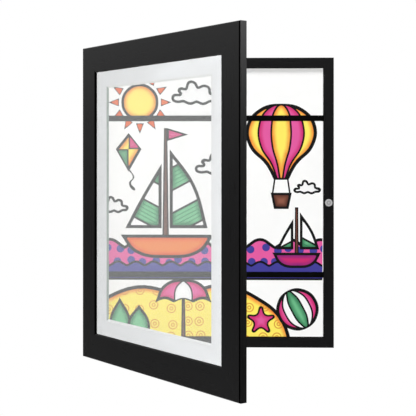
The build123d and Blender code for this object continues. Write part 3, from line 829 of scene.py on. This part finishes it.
DRAWING = (
    ("drawing_sky", 0, SKY_LAYERS),
    ("drawing_sun", 0, SUN_LAYERS),
    ("drawing_kite", 1, KITE_LAYERS),
    ("drawing_balloon", 1, BALLOON_LAYERS),
    ("drawing_sea", 1, SEA_LAYERS),
    ("drawing_boats", 3, BOAT_LAYERS),
    ("drawing_shore", 6, SHORE_LAYERS),
    ("drawing_ball", 8, BALL_LAYERS),
)


# Mesh tools

def cut(bm, point, way, **settings):
    """Cuts a whole mesh along the plane that stands across a direction at a point."""
    geom = [*bm.verts, *bm.edges, *bm.faces]
    bmesh.ops.bisect_plane(bm, geom=geom, plane_co=point, plane_no=way, **settings)


def stand_up(bm, depth):
    """Stands a flat mesh up at a depth."""
    bmesh.ops.rotate(bm, matrix=UPRIGHT, verts=bm.verts)
    bmesh.ops.translate(bm, vec=(0, depth, 0), verts=bm.verts)


def finished(name, bm, *materials):
    """Turns a bmesh into an object in the scene, with its materials."""
    mesh = bpy.data.meshes.new(name)
    bm.to_mesh(mesh)
    bm.free()
    for material in materials:
        mesh.materials.append(material)
    piece = bpy.data.objects.new(name, mesh)
    bpy.context.scene.collection.objects.link(piece)
    return piece


def dress(material, *nodes):
    """Gives CAD nodes one material in place of their own."""
    for node in nodes:
        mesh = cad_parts[node].data
        mesh.materials.clear()
        mesh.materials.append(material)


def outline_mesh(points):
    """A flat mesh filled inside a closed line through the points."""
    curve = bpy.data.curves.new("outline", "CURVE")
    curve.dimensions = "2D"
    curve.fill_mode = "BOTH"
    curve.resolution_u = 6
    spline = curve.splines.new("BEZIER")
    spline.bezier_points.add(len(points) - 1)
    spline.use_cyclic_u = True
    for knot, point in zip(spline.bezier_points, points):
        knot.co = (point[0] * MM, point[1] * MM, 0)
        knot.handle_left_type = knot.handle_right_type = "VECTOR" if len(point) > 2 else "AUTO"
    holder = bpy.data.objects.new("outline", curve)
    mesh = bpy.data.meshes.new_from_object(holder)
    bpy.data.objects.remove(holder)
    bpy.data.curves.remove(curve)
    return mesh


def edge_samples(shape):
    """A search tree of points close together along a flat shape's edge."""
    points = []
    for edge in shape.edges:
        if edge.is_boundary:
            start, end = (vert.co for vert in edge.verts)
            steps = max(1, math.ceil((end - start).length / SAMPLE))
            points += [start.lerp(end, step / steps) for step in range(steps)]
    tree = KDTree(len(points))
    for index, point in enumerate(points):
        tree.insert(point, index)
    tree.balance()
    return tree


def draw_shape(drawing, slot, points, ink_width, layer):
    """Adds one filled shape to the drawing's mesh, each point knowing how far it lies inside the ink line."""
    flat_mesh = outline_mesh(points)
    shape = bmesh.new()
    shape.from_mesh(flat_mesh)
    bpy.data.meshes.remove(flat_mesh)
    bmesh.ops.remove_doubles(shape, verts=shape.verts, dist=SNAP)
    bmesh.ops.dissolve_faces(shape, faces=shape.faces[:])
    line = edge_samples(shape)
    limits = (PAPER_HALF[0] - STRAP_GAP, PAPER_HALF[1])
    for axis, limit in zip((ACROSS, UP_SHEET), limits):
        for way in (axis, -axis):
            cut(shape, way * limit, way, clear_outer=True)
        reach = [vert.co.dot(axis) for vert in shape.verts]
        for step in range(math.ceil(min(reach) / GRID), math.ceil(max(reach) / GRID)):
            cut(shape, axis * step * GRID, axis, dist=SNAP)
    inside = shape.verts.layers.float.new("inside")
    stroke = shape.verts.layers.float.new("stroke")
    for vert in shape.verts:
        reach = line.find(vert.co)[2]
        vert[inside] = reach - ink_width * MM
        vert[stroke] = reach / (ink_width * MM) if ink_width else 2.0
    for face in shape.faces:
        face.material_index = slot
    bmesh.ops.triangulate(shape, faces=shape.faces[:])
    stand_up(shape, PAPER_FRONT - LAYER * (layer + 1))
    for face in shape.faces:
        if face.normal.y > 0:
            face.normal_flip()
    done = bpy.data.meshes.new("shape")
    shape.to_mesh(done)
    shape.free()
    drawing.from_mesh(done)
    bpy.data.meshes.remove(done)


def draw_piece(name, first, layers):
    """One piece of the drawing, its layers counted from the first."""
    paints = sorted({paint for shapes in layers for paint, _, _ in shapes})
    drawing = bmesh.new()
    for depth, shapes in enumerate(layers):
        for paint, ink_width, points in shapes:
            draw_shape(drawing, paints.index(paint), points, ink_width, first + depth)
    piece = finished(name, drawing, *(bpy.data.materials[f"drawing_{paint}"] for paint in paints))
    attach(piece, "box")


class FRAME_OT_effects(bpy.types.Operator):
    """Builds the node groups that the finishes share"""

    bl_idname = "picture_frame.effects"
    bl_label = "Shared effects"

    def execute(self, context):
        for group in GROUPS:
            build_group(*group)
        return {"FINISHED"}


class FRAME_OT_mouldings(bpy.types.Operator):
    """Paints the rails of the door and the box"""

    bl_idname = "picture_frame.mouldings"
    bl_label = "Painted mouldings"

    def execute(self, context):
        finish = context.scene.frame_finish
        door = (DOOR_MIDDLE, DOOR_TURN, DOOR_HALF, DOOR_RAIL, -DOOR_THICK / 2)
        box = (Vector(), 0.0, BOX_HALF, BOX_RAIL, NO_ARRIS)
        # Each lip sets how far the painted shade at the opening reaches onto the front, widest on the hinge
        # stile
        for name, place, lip, grain, nodes in (
            ("door_paint_hinge", door, 3.4 * MM, UPRIGHT_GRAIN, ("door_hinge_stile",)),
            ("door_paint_latch", door, 0.6 * MM, UPRIGHT_GRAIN, ("door_latch_stile",)),
            ("door_paint_level", door, 0.5 * MM, LEVEL_GRAIN, ("door_top_rail", "door_bottom_rail")),
            ("box_paint_upright", box, 0.5 * MM, UPRIGHT_GRAIN, ("box_hinge_side", "box_latch_side")),
            ("box_paint_level", box, 0.5 * MM, LEVEL_GRAIN, ("box_top_rail", "box_bottom_rail")),
        ):
            dress(paint_material(name, *place, lip, grain, finish), *nodes)
        return {"FINISHED"}


class FRAME_OT_boards(bpy.types.Operator):
    """Finishes the mat, the paper, the back panel and the wall pads"""

    bl_idname = "picture_frame.boards"
    bl_label = "Mat, paper and back"

    def execute(self, context):
        finish = context.scene.frame_finish
        dress(board_material("mat_board", finish), "window_mat")
        self.sheet(paper_material("drawing_paper", finish.paper))
        dress(paper_material("paper_stack", finish.paper, layered=True), "stored_sheets")
        dress(hardboard_material("dark_hardboard", finish), "back_panel")
        dress(rubber_material("pad_rubber", finish.rubber), "wall_pads")
        return {"FINISHED"}

    def sheet(self, material):
        """Trims the front sheet to the box, with a notch beside each end of a strap."""
        low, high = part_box("drawing_sheet")
        bm = bmesh.new()
        bmesh.ops.create_grid(bm, x_segments=1, y_segments=1, size=1.0)
        bmesh.ops.scale(bm, vec=(*PAPER_HALF, 1), verts=bm.verts[:])
        straps = [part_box(node) for node in STRAPS]
        inner = PAPER_HALF[0] - STRAP_GAP
        cuts = [(ACROSS, -inner), (ACROSS, inner)]
        for bottom, top in straps:
            cuts += [(UP_SHEET, bottom.z - NOTCH_GAP), (UP_SHEET, top.z + NOTCH_GAP)]
        for way, place in cuts:
            cut(bm, way * place, way)
        notches = []
        for face in bm.faces:
            middle = face.calc_center_median()
            beside = any(bottom.z < middle.y < top.z for bottom, top in straps)
            if abs(middle.x) > inner and beside:
                notches.append(face)
        bmesh.ops.delete(bm, geom=notches, context="FACES")
        stand_up(bm, low.y)
        bmesh.ops.recalc_face_normals(bm, faces=bm.faces)
        bmesh.ops.solidify(bm, geom=bm.faces[:], thickness=high.y - low.y)
        bmesh.ops.recalc_face_normals(bm, faces=bm.faces)
        sheet = finished("front_sheet", bm, material)
        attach(sheet, "box")
        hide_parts("drawing_sheet")
        depths = [vert.co.y for vert in sheet.data.vertices]
        if abs(min(depths) - low.y) > SNAP or abs(max(depths) - high.y) > SNAP:
            raise RuntimeError("The front sheet doesn't lie where the drawing sheet does")


class FRAME_OT_glazing(bpy.types.Operator):
    """Makes the door's sheet clear"""

    bl_idname = "picture_frame.glazing"
    bl_label = "Glazing"

    def execute(self, context):
        dress(glazing_material("clear_glazing", context.scene.frame_finish), "glazing_sheet")
        return {"FINISHED"}


class FRAME_OT_metal(bpy.types.Operator):
    """Plates the hinges, the catch and the small fasteners"""

    bl_idname = "picture_frame.metal"
    bl_label = "Plated metal"

    def execute(self, context):
        finish = context.scene.frame_finish
        dress(
            plated_material("brushed_nickel", finish.nickel, BRUSHED_GRAIN, 0.3, 0.05),
            "upper_hinge_door_leaf", "lower_hinge_door_leaf", "upper_hinge_box_leaf", "lower_hinge_box_leaf",
            "hinge_pins", "hinge_door_screws", "hinge_box_screws",
        )
        dress(
            plated_material("zinc_plate", finish.zinc, EVEN_GRAIN, 0.12, 0.12),
            "glazing_points", "door_corner_nails", "box_corner_nails", "panel_staples", "strap_staples",
            "hanger_nails", "portrait_hanger", "landscape_hanger",
        )
        low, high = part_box("catch_magnet")
        rim = (low + high) / 2
        rim.y = low.y
        disc = sum(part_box("strike_disc"), Vector()) / 2
        for pad, screw, centre, turn, metallic in (
            ("catch_magnet", "magnet_screw", rim, 0.0, 0.3),
            ("strike_disc", "strike_screw", disc, DOOR_TURN, 0.6),
        ):
            look = (finish.bright_nickel, centre, turn, metallic)
            dress(turned_material(f"{pad}_face", *look, PAD_SHADE_RINGS), pad)
            dress(turned_material(f"{screw}_head", *look, HEAD_SHADE_RINGS), screw)
        return {"FINISHED"}


class FRAME_OT_straps(bpy.types.Operator):
    """Weaves the two elastic straps in place of their plain solids"""

    bl_idname = "picture_frame.straps"
    bl_label = "Elastic straps"

    def execute(self, context):
        material = elastic_material("woven_elastic", context.scene.frame_finish)
        for node in STRAPS:
            self.weave(node, material)
        return {"FINISHED"}

    def weave(self, node, material):
        """Sweeps the band's section from one tab, round both bends, to the other tab."""
        low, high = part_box(node)
        front, back = low.y, high.y - STRAP_TAB_GAP
        middle, half = (low.z + high.z) / 2, (high.z - low.z) / 2
        bm = bmesh.new()
        ring = bmesh.ops.create_circle(bm, segments=4, radius=math.sqrt(2), cap_ends=False)["verts"]
        bmesh.ops.rotate(bm, matrix=Matrix.Rotation(math.radians(45), 3, "Z"), verts=ring)
        bmesh.ops.rotate(bm, matrix=UPRIGHT, verts=ring)
        bmesh.ops.scale(bm, vec=(STRAP_THICK / 2, 1, half), verts=ring)
        bmesh.ops.translate(bm, vec=(low.x + STRAP_THICK / 2, back, middle), verts=ring)
        edges = self.run(bm, bm.edges[:], Vector((0, front + STRAP_BEND - back, 0)))
        edges = self.turn(bm, edges, (low.x + STRAP_BEND, front + STRAP_BEND, middle))
        edges = self.run(bm, edges, Vector((high.x - low.x - 2 * STRAP_BEND, 0, 0)))
        edges = self.turn(bm, edges, (high.x - STRAP_BEND, front + STRAP_BEND, middle))
        self.run(bm, edges, Vector((0, back - front - STRAP_BEND, 0)))
        bmesh.ops.remove_doubles(bm, verts=bm.verts[:], dist=SNAP / 2)
        bmesh.ops.holes_fill(bm, edges=bm.edges[:], sides=4)
        bmesh.ops.recalc_face_normals(bm, faces=bm.faces[:])
        sharp = [e for e in bm.edges if len(e.link_faces) == 2 and e.calc_face_angle() > SHARP_ANGLE]
        bmesh.ops.bevel(
            bm, geom=sharp, offset=STRAP_EDGE, affect="EDGES", segments=2, profile=0.5, material=-1
        )
        band = bm.loops.layers.uv.new("Band")
        for face in bm.faces:
            for loop in face.loops:
                x, y, z = loop.vert.co
                loop[band].uv = (x + math.copysign(y - front, x), z - middle)
            face.smooth = True
        strap = finished(f"woven_{node}", bm, material)
        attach(strap, "box")
        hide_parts(node)

    def run(self, bm, edges, way):
        """Extrudes the open end along a straight."""
        made = bmesh.ops.extrude_edge_only(bm, edges=edges)["geom"]
        bmesh.ops.translate(bm, vec=way, verts=[g for g in made if isinstance(g, bmesh.types.BMVert)])
        return [g for g in made if isinstance(g, bmesh.types.BMEdge)]

    def turn(self, bm, edges, centre):
        """Carries the open end round a quarter bend about the vertical."""
        end = list({v for e in edges for v in e.verts})
        made = bmesh.ops.spin(
            bm, geom=[*end, *edges], cent=centre, axis=(0, 0, 1), angle=math.radians(90), steps=6,
            use_merge=False, use_duplicate=False, dvec=(0, 0, 0),
        )["geom_last"]
        return [g for g in made if isinstance(g, bmesh.types.BMEdge)]


class FRAME_OT_drawing(bpy.types.Operator):
    """Draws the seaside picture on the front sheet"""

    bl_idname = "picture_frame.drawing"
    bl_label = "Drawing"

    def execute(self, context):
        pens = context.scene.drawing_colours
        for name, colour, shade in (
            ("ink", pens.ink, pens.ink),
            ("white", pens.white, tuple(0.92 * v for v in pens.white)),
            ("yellow", pens.yellow, pens.orange),
            ("orange", pens.orange, pens.deep_orange),
            ("pink", pens.pink, pens.deep_pink),
            ("deep_pink", pens.deep_pink, pens.purple),
            ("green", pens.green, pens.deep_green),
            ("blue", pens.blue, pens.blue),
            ("brown", pens.brown, pens.deep_brown),
        ):
            drawing_paint(name, colour, shade, pens.ink)
        drawing_paint("ringed_yellow", pens.yellow, pens.orange, pens.ink, ringed, pens.ring)
        drawing_paint("dotted_pink", pens.pink, pens.pink, pens.ink, dotted, pens.blue)
        for name, turn in (("striped_rising", 118), ("striped_falling", 62)):
            bands = (pens.deep_green, pens.white, pens.ink, math.radians(turn))
            drawing_paint(name, pens.green, pens.deep_green, pens.ink, striped, *bands)
        for piece in DRAWING:
            draw_piece(*piece)
        return {"FINISHED"}


class FRAME_OT_stage(bpy.types.Operator):
    """Sets the camera, the lamps, the white background and the pale floor"""

    bl_idname = "picture_frame.stage"
    bl_label = "Studio"

    def execute(self, context):
        setup = context.scene.studio_setup
        context.scene.view_settings.view_transform = "Standard"
        self.camera(context, setup)
        key = self.lamp("key_lamp", *KEY_LAMP, setup.key_power)
        key.light_linking.blocker_collection = self.key_shadows()
        fill = self.lamp("fill_lamp", *FILL_LAMP, setup.fill_power)
        fill.data.use_shadow = False
        fill.visible_glossy = False
        self.lamp("edge_lamp", *EDGE_LAMP, setup.edge_power).visible_diffuse = False
        self.room(context, setup)
        self.floor(setup)
        return {"FINISHED"}

    def camera(self, context, setup):
        data = bpy.data.cameras.new("camera")
        data.sensor_width = SENSOR
        data.lens = setup.lens
        data.shift_y = setup.rise
        data.clip_start, data.clip_end = CLIP_RANGE
        camera = bpy.data.objects.new("camera", data)
        camera.location = setup.eye
        camera.rotation_euler = (math.radians(90), 0, setup.heading)
        context.scene.collection.objects.link(camera)
        context.scene.camera = camera

    def lamp(self, name, place, width, power):
        data = bpy.data.lights.new(name, "AREA")
        data.shape = "DISK"
        data.size = width
        data.energy = power
        lamp = bpy.data.objects.new(name, data)
        lamp.location = place
        lamp.rotation_mode = "QUATERNION"
        lamp.rotation_quaternion = (-Vector(place)).to_track_quat("-Z", "Y")
        bpy.context.scene.collection.objects.link(lamp)
        return lamp

    def key_shadows(self):
        """Collects the box's pieces, which alone shade the key lamp, and lets matt light past dark rails."""
        box_only = bpy.data.collections.new("key_shadows")
        for node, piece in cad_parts.items():
            if node.startswith("box_"):
                box_only.objects.link(piece)
            if node.endswith(("_rail", "_stile", "_side")) and node != "box_top_rail":
                piece.visible_diffuse = False
        return box_only

    def room(self, context, setup):
        """White to the eye and behind the frame, a white ceiling, dimmer at the sides, and a pale ground."""
        world = bpy.data.worlds.new("studio")
        world.use_nodes = True
        context.scene.world = world
        tree = world.node_tree
        x, y, z = split(put(tree, "TexCoord").out("Generated"))
        ceiling = fade(z, -0.05, 0.4, 0.06, 1.0) * fade(abs(x), 0.3, 0.9, 0.32, 1.0)
        ground = fade(z, -0.06, -0.25, 0.0, 0.12) * fade(x, 0.6, 0.2)
        walls = larger(ceiling + ground, fade(y, 0.55, 0.8))
        mirrored = put(tree, "LightPath").out("Is Glossy Ray")
        glossy = mirrored * larger(walls, fade(z, 0.5, 0.9))
        room = fade(y, -0.2, 0.7, 0.1 * setup.ambient, setup.ambient) * fade(z, -0.5, 0.8, 0.7, 1.2)
        level = larger(looked_at(tree), glossy + (1.0 - mirrored) * room)
        light = put(tree, "Background", {"Color": WHITE, "Strength": level})
        feed(tree.nodes["World Output"].inputs["Surface"], light)

    def floor(self, setup):
        """A white round floor that keeps the frame's shadow and fades into the background."""
        bm = bmesh.new()
        bmesh.ops.create_circle(bm, cap_ends=True, segments=96, radius=setup.floor_radius)
        bmesh.ops.translate(bm, vec=(0, 0, CAD_LOW.z - setup.floor_drop), verts=bm.verts[:])
        material, tree, shader = new_material("studio_floor")
        local = place_in(tree)
        feed(shader["Base Color"], toned(FLOOR_WHITE, use(local, "Fibres", Size=2 * MM)))
        feed(shader["Roughness"], 0.9)
        x, y, _ = split(local)
        span = setup.floor_radius
        white = fade(distance(flat(x, y)), 0.35 * span, 0.98 * span, 0.85, 1.0)
        glow = put(tree, "Emission", {"Color": WHITE, "Strength": 1.0})
        matt = Value(tree.nodes["Principled BSDF"].outputs[0])
        both = put(tree, "MixShader", {0: looked_at(tree) * white, 1: matt, 2: glow})
        feed(tree.nodes["Material Output"].inputs["Surface"], both)
        floor = finished("floor", bm, material)


STEPS = (
    FRAME_OT_effects,
    FRAME_OT_mouldings,
    FRAME_OT_boards,
    FRAME_OT_glazing,
    FRAME_OT_metal,
    FRAME_OT_straps,
    FRAME_OT_drawing,
    FRAME_OT_stage,
)


class FRAME_PT_steps(bpy.types.Panel):
    """Lists the steps and the settings in the sidebar"""

    bl_label = "Picture Frame"
    bl_idname = "FRAME_PT_steps"
    bl_space_type = "VIEW_3D"
    bl_region_type = "UI"
    bl_category = "Picture Frame"

    def draw(self, context):
        for step in STEPS:
            self.layout.operator(step.bl_idname)
        for place, group in SETTINGS.items():
            box = self.layout.box()
            for name in group.__annotations__:
                box.prop(getattr(context.scene, place), name)


SETTINGS = {"frame_finish": FrameFinish, "drawing_colours": DrawingColours, "studio_setup": StudioSetup}
CLASSES = (*SETTINGS.values(), *STEPS, FRAME_PT_steps)


def register():
    for cls in CLASSES:
        bpy.utils.register_class(cls)
    for place, group in SETTINGS.items():
        setattr(bpy.types.Scene, place, PointerProperty(type=group))


def unregister():
    for place in SETTINGS:
        delattr(bpy.types.Scene, place)
    for cls in reversed(CLASSES):
        bpy.utils.unregister_class(cls)


def main():
    register()
    for step in STEPS:
        getattr(bpy.ops.picture_frame, step.bl_idname.split(".")[1])()


if __name__ == "__main__":
    main()
